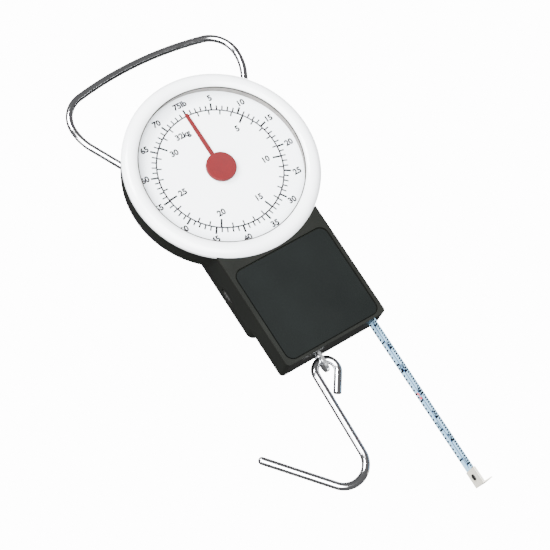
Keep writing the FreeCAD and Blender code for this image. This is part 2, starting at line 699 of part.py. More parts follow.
# ---------------------------------------------------------------- zero setting
def make_zero_setting():
    """Notched thumb wheel and cam on one spindle, and the slide that the cam moves."""
    side, height = -size("wheel_side"), -size("wheel_height")
    body = doc.addObject("PartDesign::Body", "zero_wheel_body")
    front = size("wheel_front")
    pad(body, "wheel_disc", [circle(size("wheel_radius"), side, height)], front, "sizes.wheel_thickness")
    count = int(size("wheel_notches"))
    for notch in range(count):
        turn = 2 * math.pi * (notch + 0.5) / count
        reach = size("wheel_radius") + 0.12
        spot = circle(0.4, side + reach * math.cos(turn), height + reach * math.sin(turn))
        pocket(body, f"wheel_notch_{notch}", [spot], front, 3)
    pocket(body, "wheel_bore", [circle(1.1, side, height)], front, 3)
    keep(body, "zero_wheel")
    bar = rod("spindle_bar", 1.1, (side, 2.6, height), 14.3)
    cam = rod("spindle_cam", "sizes.cam_radius", (f"{side} - sizes.cam_throw", "sizes.cam_front", height),
              "sizes.cam_thickness")
    keep(join("spindle_and_cam", [bar, cam]), "zero_spindle")
    slide = doc.addObject("PartDesign::Body", "zero_slide_body")
    front = size("slide_front")
    top = size("anchor_height") + 3.0
    arm = size("spring_side") + 2.8
    outline = [(-18.4, -46.5), (-13.0, -46.5), (-13.0, 18.6), (arm, 18.6), (arm, top), (-18.4, top)]
    pad(slide, "slide_sheet", segments(outline), front, "sizes.slide_thickness")
    pad(slide, "slide_foot", rounded_block(-20.2, -12.2, -46.5, -37.1, 0.6), front, "sizes.slide_thickness")
    cam_slot = size("cam_radius") + 0.04
    pocket(slide, "cam_slot", rounded_block(side - 3.42, side + 3.0, height - cam_slot, height + cam_slot, 0.4),
           front - 0.5, 3)
    for index, z in enumerate((19.0, -30.0)):
        slot = rounded_block(-17.45, -13.55, z - 2.7, z + 2.7, 1.9)
        pocket(slide, f"screw_slot_{index}", slot, front - 0.5, 3)
    for index, x in enumerate((-size("spring_side"), size("spring_side"))):
        pocket(slide, f"anchor_hole_{index}", [circle(size("stud_radius"), x, size("anchor_height"))], front - 0.5, 3)
    keep(slide, "zero_slide")


# ---------------------------------------------------------------- handle and hook
def make_bail():
    """One bent wire: feet along X, sloping legs, rounded shoulders and a slightly crowned top."""
    depth, pivot = size("bail_depth"), size("bail_pivot")
    wire = size("bail_wire")
    wide, crown = size("bail_half_width"), size("bail_crown_radius")
    level = size("bail_widest")
    drop = crown - size("bail_top")
    rise = level + drop
    shoulder = (crown**2 - wide**2 - rise**2) / (2 * (crown - wide))
    side = size("bail_side_radius")
    foot_x, foot = size("bail_foot_bend"), size("bail_foot_radius")
    knee = (wide - side, level)
    ankle = (foot_x, pivot + foot)
    run = (ankle[0] - knee[0], ankle[1] - knee[1])
    lean = math.degrees(math.atan2(run[1], run[0]) + math.acos((side - foot) / math.hypot(*run)))
    meet = math.degrees(math.atan2(rise, wide - shoulder))

    def spot(centre, radius, angle):
        turn = math.radians(angle)
        return Vector(centre[0] + radius * math.cos(turn), depth, centre[1] + radius * math.sin(turn))

    right = [
        line_edge(Vector(size("bail_end"), depth, pivot), Vector(foot_x, depth, pivot)),
        arc_edge(*ankle, foot, -90, lean, depth),
        line_edge(spot(ankle, foot, lean), spot(knee, side, lean)),
        arc_edge(*knee, side, lean, 0, depth),
        arc_edge(wide - shoulder, level, shoulder, 0, meet, depth),
        arc_edge(0, -drop, crown, meet, 90, depth),
    ]
    path = Part.Wire(right)
    left = path.mirror(Vector(0, 0, 0), Vector(1, 0, 0))
    halves = [wire_pipe(right, wire)]
    halves.append(halves[0].mirror(Vector(0, 0, 0), Vector(1, 0, 0)))
    whole = halves[0].fuse(halves[1])
    print("bail solids", len(whole.Solids), "path", round(path.Length + left.Length, 1))
    bail = doc.addObject("Part::Feature", "bail_wire_shape")
    bail.Shape = whole
    keep(bail, "bail_handle")


def make_hook():
    """One bent wire: a free leg, a loop through the eye, a long shank, a bend and a rising arm."""
    wire, depth = size("hook_wire"), size("eye_depth")
    loop = (-size("loop_side"), -size("loop_height"))
    bend = (-size("bend_side"), -size("bend_height"))
    small, large = size("loop_radius"), size("bend_radius")
    run = (bend[0] - loop[0], bend[1] - loop[1])
    across = math.degrees(math.atan2(run[1], run[0]) % (2 * math.pi)
                          - math.acos((small + large) / math.hypot(*run)))
    free = size("free_leg_slope") - 90

    def spot(centre, radius, angle):
        turn = math.radians(angle)
        return Vector(centre[0] + radius * math.cos(turn), depth, centre[1] + radius * math.sin(turn))

    leg_top = spot(loop, small, free)
    leg_turn = math.radians(free - 90)
    leg_end = leg_top + Vector(math.cos(leg_turn), 0, math.sin(leg_turn)) * size("free_leg_length")
    arm_angle = -(90 + size("arm_slope"))
    arm_start = spot(bend, large, arm_angle)
    arm_turn = math.radians(180 - size("arm_slope"))
    arm_end = arm_start + Vector(math.cos(arm_turn), 0, math.sin(arm_turn)) * size("arm_length")
    edges = [
        line_edge(leg_end, leg_top),
        arc_edge(*loop, small, free, across, depth),
        line_edge(spot(loop, small, across), spot(bend, large, across - 180)),
        arc_edge(*bend, large, across - 180, arm_angle, depth),
        line_edge(arm_start, arm_end),
    ]
    rod_shape = wire_pipe(edges, wire)
    tip = Part.makeSphere(wire, arm_end)
    hook = doc.addObject("Part::Feature", "hook_wire_shape")
    hook.Shape = rod_shape.fuse(tip)
    keep(hook, "hook")


# ---------------------------------------------------------------- tape measure
def make_tape():
    """Reel on a fixed axle, the coiled tape, its drawn-out blade and the end hook."""
    side, height = size("reel_side"), -size("reel_height")
    front, width = "sizes.tape_front", "sizes.tape_width"
    start = (side, front, height)
    core = rod("core_blank", "sizes.coil_core", start, width)
    hollow = rod("core_hollow", "sizes.coil_core - sizes.reel_wall", (side, "sizes.tape_front + 0.8", height), width)
    sleeve = rod("sleeve_blank", 2.3, start, width)
    bore = rod("sleeve_bore", "sizes.axle_radius + sizes.running_gap", start, width)
    keep(take("drum_bored", join("drum_blank", [take("drum_cup", core, [hollow]), sleeve]), [bore]), "reel_drum")
    outer = rod("coil_blank", "sizes.coil_radius", start, width)
    inner = rod("coil_hollow", "sizes.coil_core", start, width)
    keep(take("coil_ring", outer, [inner]), "tape_coil")
    spiral = []
    turns, steps = 3.4, 120
    low, high = 2.45, size("coil_core") - size("reel_wall") - 0.1
    for thickness, order in ((0.0, range(steps + 1)), (0.16, range(steps, -1, -1))):
        for step in order:
            radius = low + (high - low - 0.16) * step / steps + thickness
            turn = 2 * math.pi * turns * step / steps
            spiral.append((side + radius * math.cos(turn), height + radius * math.sin(turn)))
    body = doc.addObject("PartDesign::Body", "return_spring_body")
    pad(body, "spiral_strip", segments(spiral), 3.4, 5.6)
    keep(body, "return_spring")
    axle = rod("axle_bar", "sizes.axle_radius", (side, "sizes.panel_recess + 0.05", height), 9.25)
    groove_ring = rod("axle_groove_blank", "sizes.axle_radius", (side, 10.12, height), 0.3)
    groove_core = rod("axle_groove_core", "sizes.axle_radius - 0.3", (side, 10.12, height), 0.3)
    keep(take("axle_grooved", axle, [take("axle_groove", groove_ring, [groove_core])]), "reel_axle")
    clip = rod("clip_blank", 2.6, (side, 10.14, height), 0.26)
    clip_bore = rod("clip_bore", "sizes.axle_radius - 0.3", (side, 10.14, height), 0.26)
    clip_gap = box("clip_gap", (side - 0.8, side + 0.8), (10, 11), (height - 3, height))
    keep(take("clip_ring", clip, [clip_bore, clip_gap]), "axle_clip")

    left = "sizes.tape_side - sizes.tape_thickness / 2"
    right = "sizes.tape_side + sizes.tape_thickness / 2"
    depth = ("sizes.tape_front", "sizes.tape_front + sizes.tape_width")
    strip = box("blade_strip", (left, right), depth, ("-sizes.tape_end", "-sizes.reel_height"))
    middle = size("tape_front") + size("tape_width") / 2
    rivet_at = -(size("tape_end") - 3.2)
    hole = rod("blade_hole", 0.8, (16, middle, rivet_at), 4, "x")
    keep(take("blade_drilled", strip, [hole]), "tape_blade")
    metal = 0.4
    wide = ("sizes.tape_front - 0.35", "sizes.tape_front + sizes.tape_width + 0.35")
    plates = [
        box("ferrule_plate", (right, f"{right} + {metal}"), wide, ("-sizes.tape_end", "-sizes.tape_end + 6.2")),
        box("ferrule_cover", (f"{left} - 0.3", left), wide, ("-sizes.tape_end", "-sizes.tape_end + 6.2")),
        box("ferrule_tab", (f"{left} - 0.3", f"{right} + 3.6"), wide, (f"-sizes.tape_end - {metal}", "-sizes.tape_end")),
    ]
    bore = rod("ferrule_hole", 0.8, (16, middle, rivet_at), 4, "x")
    keep(take("ferrule_drilled", join("ferrule_blank", plates), [bore]), "tape_end_hook")
    shank = rod("tape_rivet_shank", 0.8, (16.7, middle, rivet_at), 1.6, "x")
    heads = [rod(f"tape_rivet_head_{n}", 1.2, (x, middle, rivet_at), 0.35, "x") for n, x in enumerate((16.72, 17.93))]
    keep(join("tape_rivet_shape", [shank] + heads), "tape_rivet")
    brake = doc.addObject("PartDesign::Body", "tape_brake_body")
    inside = size("tape_side") + size("tape_thickness") / 2 + 0.03
    block = rounded_block(inside, size("case_half_width") - size("wall"), -70.5, -66.0, 0.4)
    pad(brake, "brake_block", block, 3.2, 6)
    keep(brake, "tape_brake")


LINK_RIVETS = [(-3.6, -32.7), (-3.1, -29.0)]
RIVET_RADIUS = 0.7

make_front_case()
make_rear_case()
make_front_panel()
make_case_screws()
make_bezel_ring()
make_dial_stack()
make_pointer()
make_pinion()
make_bushings()
make_chassis()
make_draw_plate()
make_eye_link()
make_studs()
make_springs()
make_zero_setting()
make_bail()
make_hook()
make_tape()

# ---------------------------------------------------------------- check and export
doc.recompute()
for thing in doc.Objects:
    if "Invalid" in thing.State or "Error" in thing.State:
        raise RuntimeError(f"{thing.Label}: {thing.State}")
os.makedirs("parts", exist_ok=True)
for piece in pieces:
    if piece.Shape.isNull() or not piece.Shape.isValid():
        raise RuntimeError(f"{piece.Label} has a broken shape")
    piece.Shape.exportStep(f"parts/{piece.Label}.step")
    bound = piece.Shape.BoundBox
    print(f"{piece.Label:18s} {piece.Shape.Volume:9.1f} mm3, {len(piece.Shape.Solids)} solid(s), "
          f"x {bound.XMin:.1f}..{bound.XMax:.1f} y {bound.YMin:.1f}..{bound.YMax:.1f} "
          f"z {bound.ZMin:.1f}..{bound.ZMax:.1f}")
print(len(pieces), "pieces")
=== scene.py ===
"""Studio scene of a hanging spring scale: dial print, tape print, springs and finishes."""

import math

import bpy
from bpy.props import FloatProperty, FloatVectorProperty, IntProperty, PointerProperty
from mathutils import Matrix, Vector


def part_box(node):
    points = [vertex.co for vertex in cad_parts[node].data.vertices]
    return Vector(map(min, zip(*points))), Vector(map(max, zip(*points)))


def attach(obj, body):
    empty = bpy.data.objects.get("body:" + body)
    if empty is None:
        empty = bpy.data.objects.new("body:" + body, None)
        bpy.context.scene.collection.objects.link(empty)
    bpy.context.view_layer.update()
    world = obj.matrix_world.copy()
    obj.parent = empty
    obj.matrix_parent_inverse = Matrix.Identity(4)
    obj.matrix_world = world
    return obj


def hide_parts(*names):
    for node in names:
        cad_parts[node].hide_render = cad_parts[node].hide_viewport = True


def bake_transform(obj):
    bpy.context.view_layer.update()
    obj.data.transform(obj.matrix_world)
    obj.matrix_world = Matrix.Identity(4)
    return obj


bl_info = {
    "name": "Hanging Spring Scale",
    "version": (1, 0, 0),
    "blender": (4, 5, 0),
    "location": "3D View > Sidebar > Scale",
    "description": "Builds the dial, tape, springs, finishes and studio of a hanging spring scale",
    "category": "Add Mesh",
}

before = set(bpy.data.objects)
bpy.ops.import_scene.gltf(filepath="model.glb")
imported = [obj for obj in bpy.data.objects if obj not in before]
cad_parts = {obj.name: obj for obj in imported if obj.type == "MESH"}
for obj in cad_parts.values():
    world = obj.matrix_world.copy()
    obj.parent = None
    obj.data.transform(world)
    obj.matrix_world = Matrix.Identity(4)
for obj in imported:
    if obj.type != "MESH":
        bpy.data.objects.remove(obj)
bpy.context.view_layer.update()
MM = 0.001
CAMERA_SPOT = Vector((-0.23242, -0.58715, -0.23287))
CAMERA_RIGHT = Vector((0.820, -0.1998, -0.5363))
CAMERA_UP = Vector((0.446, -0.3644, 0.8174))
LENS, SENSOR = 114.2, 36.0
SCALE_MIDDLE = Vector((0.0, 0.0, -0.09))
QUARTER_TURN = math.pi / 2
INCH = 25.4
POUND_IN_KILOGRAMS = 0.45359237


def middle(node):
    """The centre of a node's box."""
    low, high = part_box(node)
    return (Vector(low) + Vector(high)) / 2


DIAL_CENTRE = middle("dial_plate")
DIAL_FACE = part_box("dial_plate")[0][1]
DIAL_RADIUS = (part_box("dial_plate")[1][0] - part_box("dial_plate")[0][0]) / 2
PRINT_SPOT = Vector((DIAL_CENTRE.x, DIAL_FACE - 0.03 * MM, DIAL_CENTRE.z))


# ------------------------------------------------------------------ shader expressions
class Socket:
    """An output socket that takes part in arithmetic."""

    def __init__(self, tree, link):
        self.tree, self.link = tree, link

    def _math(self, operation, *values):
        return Shader.add(self.tree, "ShaderNodeMath", {"operation": operation}, dict(enumerate(values)))

    def __add__(self, other):
        return self._math("ADD", self, other)

    def __sub__(self, other):
        return self._math("SUBTRACT", self, other)

    def __mul__(self, other):
        return self._math("MULTIPLY", self, other)

    __radd__ = __add__

    def clamp(self):
        """Hold the value between 0 and 1."""
        return self._math("MINIMUM", self._math("MAXIMUM", self, 0.0), 1.0)


class Shader:
    """One material's node tree, with a Principled surface."""

    def __init__(self, name, colour, roughness, metallic=0.0, coat=0.0, alpha=1.0, gloss=0.5):
        self.material = bpy.data.materials.new(name)
        self.material.use_nodes = True
        self.tree = self.material.node_tree
        self.surface = self.tree.nodes["Principled BSDF"]
        self.surface.inputs["Base Color"].default_value = (*colour, 1.0)
        self.surface.inputs["Roughness"].default_value = roughness
        self.surface.inputs["Metallic"].default_value = metallic
        self.surface.inputs["Coat Weight"].default_value = coat
        self.surface.inputs["Alpha"].default_value = alpha
        self.surface.inputs["Specular IOR Level"].default_value = gloss
        self.place = self.node("ShaderNodeTexCoord", {}, {}, "Object")

    @staticmethod
    def add(tree, kind, settings, values, output=0):
        """Add a node to a tree, set or link its inputs, and return one of its outputs."""
        node = tree.nodes.new(kind)
        for name, value in settings.items():
            setattr(node, name, value)
        for key, value in values.items():
            if isinstance(value, Socket):
                tree.links.new(value.link, node.inputs[key])
            else:
                node.inputs[key].default_value = value
        return Socket(tree, node.outputs[output])

    def node(self, kind, settings, values, output=0):
        return self.add(self.tree, kind, settings, values, output)

    def noise(self, scale, detail=3.0, stretch=(1.0, 1.0, 1.0)):
        """Soft noise from 0 to 1, finer with a larger scale, drawn out where the stretch is small."""
        place = self.node("ShaderNodeMapping", {}, {"Vector": self.place, "Scale": stretch})
        return self.node("ShaderNodeTexNoise", {}, {"Vector": place, "Scale": scale, "Detail": detail}, "Fac")

    def mix(self, mask, first, second):
        """Blend between two colours by a mask."""
        node = self.tree.nodes.new("ShaderNodeMix")
        node.data_type = "RGBA"
        self.tree.links.new(mask.link, node.inputs["Factor"])
        for key, colour in (("A", first), ("B", second)):
            socket = next(s for s in node.inputs if s.name == key and s.type == "RGBA")
            if isinstance(colour, Socket):
                self.tree.links.new(colour.link, socket)
            else:
                socket.default_value = (*colour, 1.0)
        return Socket(self.tree, next(s for s in node.outputs if s.type == "RGBA"))

    def feed(self, **links):
        """Feed named inputs of the surface; underscores stand for spaces."""
        for name, value in links.items():
            self.tree.links.new(value.link, self.surface.inputs[name.replace("_", " ")])
        return self

    def bump(self, height, strength, distance):
        """Roughen the surface by a height from 0 to 1."""
        normal = self.node("ShaderNodeBump", {}, {"Height": height, "Strength": strength,
                                                  "Distance": distance}, "Normal")
        return self.feed(Normal=normal)


# ------------------------------------------------------------------ finishes
def chrome():
    shader = Shader("polished chrome", (0.78, 0.79, 0.8), 0.08, metallic=1.0)
    smudge = shader.noise(130.0, 4.0)
    fine = shader.noise(900.0, 2.0)
    shader.feed(Roughness=0.05 + smudge * 0.12)
    shader.feed(Base_Color=shader.mix(smudge, (0.82, 0.83, 0.85), (0.66, 0.67, 0.69)))
    return shader.bump(fine, 0.04, 0.0002).material


def black_plastic():
    shader = Shader("black case plastic", (0.02, 0.021, 0.018), 0.38, gloss=0.12)
    cloud = shader.noise(45.0, 4.0)
    grain = shader.noise(2600.0, 2.0)
    shader.feed(Base_Color=shader.mix(cloud, (0.0032, 0.0036, 0.0031), (0.0065, 0.0071, 0.0061)))
    shader.feed(Roughness=0.3 + cloud * 0.16)
    return shader.bump(grain, 0.18, 0.00012).material


def panel_plastic():
    shader = Shader("dark panel plastic", (0.012, 0.012, 0.013), 0.55, gloss=0.06)
    cloud = shader.noise(60.0, 5.0)
    grain = shader.noise(3200.0, 2.0)
    shader.feed(Base_Color=shader.mix(cloud, (0.0018, 0.0024, 0.0023), (0.0036, 0.0046, 0.0044)))
    shader.feed(Roughness=0.5 + cloud * 0.14)
    return shader.bump(grain, 0.22, 0.00012).material


def white_gloss():
    shader = Shader("white ring plastic", (0.83, 0.85, 0.87), 0.16, coat=0.35)
    cloud = shader.noise(55.0, 3.0)
    wave = shader.noise(260.0, 2.0)
    shader.feed(Base_Color=shader.mix(cloud, (0.80, 0.83, 0.86), (0.88, 0.90, 0.92)))
    shader.feed(Roughness=0.12 + cloud * 0.12)
    return shader.bump(wave, 0.05, 0.0004).material


def dial_paper():
    shader = Shader("dial paint", (0.86, 0.9, 0.94), 0.42)
    reach = shader.node("ShaderNodeVectorMath", {"operation": "DISTANCE"},
                        {0: shader.place, 1: tuple(DIAL_CENTRE)}, "Value")
    # Painted shade: the dial paint darkens from 0.62 of the radius out to the rim, where the bezel's shadow
    # falls.
    painted_rim_shade = ((reach - DIAL_RADIUS * 0.62) * (1.0 / (DIAL_RADIUS * 0.38))).clamp()
    fibre = shader.noise(1500.0, 3.0)
    shader.feed(Base_Color=shader.mix(painted_rim_shade * 0.8 + fibre * 0.15, (0.90, 0.93, 0.96), (0.78, 0.83, 0.88)))
    shader.feed(Roughness=0.36 + fibre * 0.14)
    return shader.bump(fibre, 0.04, 0.0001).material


def clear_window():
    shader = Shader("clear window", (0.3, 0.32, 0.35), 0.04, alpha=0.015, gloss=0.1)
    haze = shader.noise(40.0, 2.0)
    shader.feed(Roughness=0.02 + haze * 0.06)
    return shader.feed(Alpha=0.01 + haze * 0.015).material


def red_plastic():
    shader = Shader("red pointer plastic", (0.3, 0.002, 0.004), 0.4, gloss=0.03)
    cloud = shader.noise(300.0, 3.0)
    grain = shader.noise(2400.0, 2.0)
    shader.feed(Base_Color=shader.mix(cloud, (0.06, 0.00001, 0.0002), (0.08, 0.00002, 0.0004)))
    shader.feed(Roughness=0.28 + cloud * 0.12)
    return shader.bump(grain, 0.08, 0.0001).material


def metal(name, dark, light, rough, stretch=(1.0, 1.0, 1.0), scale=700.0, bare=1.0):
    """A bare or thinly plated metal with fine lines along one direction."""
    shader = Shader(name, light, rough, metallic=bare)
    lines = shader.noise(scale, 4.0, stretch)
    stain = shader.noise(120.0, 3.0)
    shader.feed(Base_Color=shader.mix(lines * 0.6 + stain * 0.4, dark, light))
    shader.feed(Roughness=rough + lines * 0.14)
    return shader.bump(lines, 0.1, 0.0001).material


def tape_paint():
    shader = Shader("tape paint", (0.80, 0.87, 0.94), 0.3, coat=0.25)
    cloud = shader.noise(180.0, 3.0)
    lines = shader.noise(900.0, 2.0, (1.0, 1.0, 0.08))
    shader.feed(Base_Color=shader.mix(cloud, (0.24, 0.45, 0.64), (0.34, 0.55, 0.72)))
    shader.feed(Roughness=0.24 + lines * 0.16)
    return shader.bump(lines, 0.05, 0.0001).material


def ink(name, colour):
    shader = Shader(name, colour, 0.5, gloss=0.04)
    worn = shader.noise(2200.0, 3.0)
    shader.feed(Base_Color=shader.mix(worn, colour, tuple(c * 1.3 + 0.004 for c in colour)))
    return shader.feed(Roughness=0.42 + worn * 0.2).material


def felt():
    shader = Shader("brake felt", (0.2, 0.19, 0.17), 0.95)
    fibre = shader.noise(1800.0, 5.0)
    shader.feed(Base_Color=shader.mix(fibre, (0.12, 0.11, 0.10), (0.30, 0.28, 0.25)))
    return shader.bump(fibre, 0.5, 0.0003).material


def grey_plastic():
    shader = Shader("grey wheel plastic", (0.2, 0.2, 0.2), 0.6, gloss=0.15)
    cloud = shader.noise(400.0, 3.0)
    shader.feed(Base_Color=shader.mix(cloud, (0.012, 0.012, 0.012), (0.026, 0.026, 0.026)))
    return shader.feed(Roughness=0.4 + cloud * 0.15).material


# ------------------------------------------------------------------ node-built shapes
class Tree:
    """A geometry node tree for one modifier, with named inputs for its sizes."""

    def __init__(self, name, sizes):
        self.group = bpy.data.node_groups.new(name, "GeometryNodeTree")
        for word, (kind, _value) in sizes.items():
            self.group.interface.new_socket(word, in_out="INPUT", socket_type=kind)
        self.group.interface.new_socket("Geometry", in_out="OUTPUT", socket_type="NodeSocketGeometry")
        self.inputs = self.group.nodes.new("NodeGroupInput")
        self.outputs = self.group.nodes.new("NodeGroupOutput")
        self.sizes = sizes

    def size(self, word):
        return self.inputs.outputs[word]

    def node(self, kind, settings=None, values=None):
        """Add a node; its settings come first, then values or links by input name or number."""
        node = self.group.nodes.new(kind)
        for name, value in (settings or {}).items():
            setattr(node, name, value)
        for key, value in (values or {}).items():
            if isinstance(value, bpy.types.NodeSocket):
                self.group.links.new(value, node.inputs[key])
            else:
                node.inputs[key].default_value = value
        return node.outputs

    def maths(self, operation, first, second):
        return self.node("ShaderNodeMath", {"operation": operation}, {0: first, 1: second})["Value"]

    def mesh(self, name, geometry, material):
        """Finish the tree and return what it makes as a plain mesh object."""
        real = self.node("GeometryNodeRealizeInstances", {}, {"Geometry": geometry})["Geometry"]
        done = self.node("GeometryNodeSetMaterial", {}, {"Geometry": real, "Material": material})["Geometry"]
        self.group.links.new(done, self.outputs.inputs["Geometry"])
        maker = new_object(name + "_maker", bpy.data.meshes.new(name + "_empty"))
        modifier = maker.modifiers.new("shape", "NODES")
        modifier.node_group = self.group
        for item in self.group.interface.items_tree:
            if item.in_out == "INPUT" and item.name in self.sizes:
                modifier[item.identifier] = self.sizes[item.name][1]
        bpy.context.view_layer.update()
        evaluated = maker.evaluated_get(bpy.context.evaluated_depsgraph_get())
        mesh = bpy.data.meshes.new_from_object(evaluated)
        maker.modifiers.clear()
        bpy.data.objects.remove(maker)
        mesh.name = name
        if not mesh.materials:
            mesh.materials.append(material)
        return new_object(name, mesh)


def new_object(name, data):
    thing = bpy.data.objects.new(name, data)
    bpy.context.collection.objects.link(thing)
    return thing


def finish_piece(piece, body, replaces=()):
    """Let a piece ride on a body, and hide the nodes that it stands for."""
    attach(piece, body)
    if replaces:
        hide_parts(*replaces)
    return piece


def fan_of_marks(name, count, step, inner, length, width, material):
    """Marks round the dial, one every step from the top, clockwise."""
    tree = Tree(name, {
        "Count": ("NodeSocketInt", count), "Step": ("NodeSocketFloat", step),
        "Inner": ("NodeSocketFloat", inner), "Length": ("NodeSocketFloat", length),
        "Width": ("NodeSocketFloat", width),
    })
    turn = tree.maths("MULTIPLY", tree.node("GeometryNodeInputIndex")["Index"], tree.size("Step"))
    reach = tree.maths("ADD", tree.size("Inner"), tree.maths("MULTIPLY", tree.size("Length"), 0.5))
    across = tree.maths("MULTIPLY", tree.maths("SINE", turn, 0.0), reach)
    upward = tree.maths("MULTIPLY", tree.maths("COSINE", turn, 0.0), reach)
    place = tree.node("ShaderNodeCombineXYZ", {}, {"X": across, "Z": upward})["Vector"]
    points = tree.node("GeometryNodePoints", {}, {"Count": tree.size("Count"), "Position": place})["Points"]
    mark = tree.node("GeometryNodeMeshGrid", {}, {"Size X": tree.size("Width"), "Size Y": tree.size("Length"),
                                                  "Vertices X": 2, "Vertices Y": 2})["Mesh"]
    upright = tree.node("GeometryNodeTransform", {}, {"Geometry": mark,
                                                      "Rotation": (QUARTER_TURN, 0.0, 0.0)})["Geometry"]
    lean = tree.node("ShaderNodeCombineXYZ", {}, {"Y": turn})["Vector"]
    marks = tree.node("GeometryNodeInstanceOnPoints", {}, {"Points": points, "Instance": upright,
                                                           "Rotation": lean})["Instances"]
    piece = tree.mesh(name, marks, material)
    piece.data.transform(Matrix.Translation(PRINT_SPOT))
    return piece


def wire_ring(name, radius, thickness, segments, sides, material):
    """A thin ring of round wire that faces the dial's reader."""
    tree = Tree(name, {"Radius": ("NodeSocketFloat", radius), "Thickness": ("NodeSocketFloat", thickness)})
    path = tree.node("GeometryNodeCurvePrimitiveCircle", {}, {"Resolution": segments,
                                                              "Radius": tree.size("Radius")})["Curve"]
    half = tree.maths("MULTIPLY", tree.size("Thickness"), 0.5)
    profile = tree.node("GeometryNodeCurvePrimitiveCircle", {}, {"Resolution": sides, "Radius": half})["Curve"]
    band = tree.node("GeometryNodeCurveToMesh", {}, {"Curve": path, "Profile Curve": profile})["Mesh"]
    upright = tree.node("GeometryNodeTransform", {}, {"Geometry": band,
                                                      "Rotation": (QUARTER_TURN, 0.0, 0.0)})["Geometry"]
    return tree.mesh(name, upright, material)


def row_of_marks(name, count, step, length, width, start, material, towards_front):
    """Marks down the tape: a row along Z on the blade's side, drawn from one edge inwards."""
    tree = Tree(name, {
        "Count": ("NodeSocketInt", count), "Step": ("NodeSocketFloat", step),
        "Length": ("NodeSocketFloat", length), "Width": ("NodeSocketFloat", width),
    })
    height = tree.maths("MULTIPLY", tree.node("GeometryNodeInputIndex")["Index"], tree.size("Step"))
    place = tree.node("ShaderNodeCombineXYZ", {}, {"Z": height})["Vector"]
    points = tree.node("GeometryNodePoints", {}, {"Count": tree.size("Count"), "Position": place})["Points"]
    mark = tree.node("GeometryNodeMeshGrid", {}, {"Size X": tree.size("Width"), "Size Y": tree.size("Length"),
                                                  "Vertices X": 2, "Vertices Y": 2})["Mesh"]
    upright = tree.node("GeometryNodeTransform", {}, {"Geometry": mark,
                                                      "Rotation": (0.0, -QUARTER_TURN, 0.0)})["Geometry"]
    marks = tree.node("GeometryNodeInstanceOnPoints", {}, {"Points": points,
                                                           "Instance": upright})["Instances"]
    piece = tree.mesh(name, marks, material)
    shift = length / 2 if towards_front else -length / 2
    piece.data.transform(Matrix.Translation((start.x, start.y + shift, start.z)))
    return piece


def letters(text, height, material):
    """A word as a flat mesh, centred on its own middle. A capital is 0.69 of the font size tall."""
    curve = bpy.data.curves.new("letters", "FONT")
    curve.body = text
    curve.size = height / 0.69
    curve.align_x, curve.align_y = "CENTER", "CENTER"
    curve.offset = height * 0.075
    curve.resolution_u = 3
    maker = new_object("letters_maker", curve)
    bpy.context.view_layer.update()
    mesh = bpy.data.meshes.new_from_object(maker.evaluated_get(bpy.context.evaluated_depsgraph_get()))
    bpy.data.objects.remove(maker)
    mesh.materials.clear()
    mesh.materials.append(material)
    low = [min(v.co[k] for v in mesh.vertices) for k in (0, 1)]
    high = [max(v.co[k] for v in mesh.vertices) for k in (0, 1)]
    mesh.transform(Matrix.Translation((-(low[0] + high[0]) / 2, -(low[1] + high[1]) / 2, 0.0)))
    return mesh


def smooth(piece):
    """Shade every face of a piece smooth."""
    for polygon in piece.data.polygons:
        polygon.use_smooth = True


def joined(name, meshes):
    """Several meshes with one material as one object."""
    parts = [new_object(name, mesh) for mesh in meshes]
    with bpy.context.temp_override(active_object=parts[0], selected_editable_objects=parts):
        bpy.ops.object.join()
    return parts[0]


# ------------------------------------------------------------------ settings
class ScaleDialSettings(bpy.types.PropertyGroup):
    """Sizes of the dial's print."""
    pounds: IntProperty(name="Pounds", description="Pounds in one full turn of the pointer", default=75)
    pound_radius: FloatProperty(name="Pound Circle", description="Radius of the printed circle",
                                default=23.9 * MM, subtype="DISTANCE", unit="LENGTH", precision=5)
    line_width: FloatProperty(name="Line Width", description="Width of a fine printed line",
                              default=0.6 * MM, subtype="DISTANCE", unit="LENGTH", precision=5)
    number_height: FloatProperty(name="Number Height", description="Height of the printed numbers",
                                 default=2.2 * MM, subtype="DISTANCE", unit="LENGTH", precision=5)


class ScaleTapeSettings(bpy.types.PropertyGroup):
    """Sizes of the tape's print."""
    number_height: FloatProperty(name="Number Height", description="Height of the tape's numbers",
                                 default=2.5 * MM, subtype="DISTANCE", unit="LENGTH", precision=5)


class ScaleStageSettings(bpy.types.PropertyGroup):
    """Brightness of the studio and the colour behind the scale."""
    backdrop: FloatVectorProperty(name="Backdrop", description="Colour seen behind the scale", size=3,
                                  subtype="COLOR", default=(1.0, 1.0, 1.0), min=0.0, max=1.0)
    front_light: FloatProperty(name="Front Light", description="Strength of the round light behind the camera",
                               default=26.0, subtype="FACTOR", min=0.0, soft_max=50.0)
    key_power: FloatProperty(name="Key Light", description="Power of the main soft light", default=40.0,
                             subtype="POWER", unit="POWER", min=0.0)


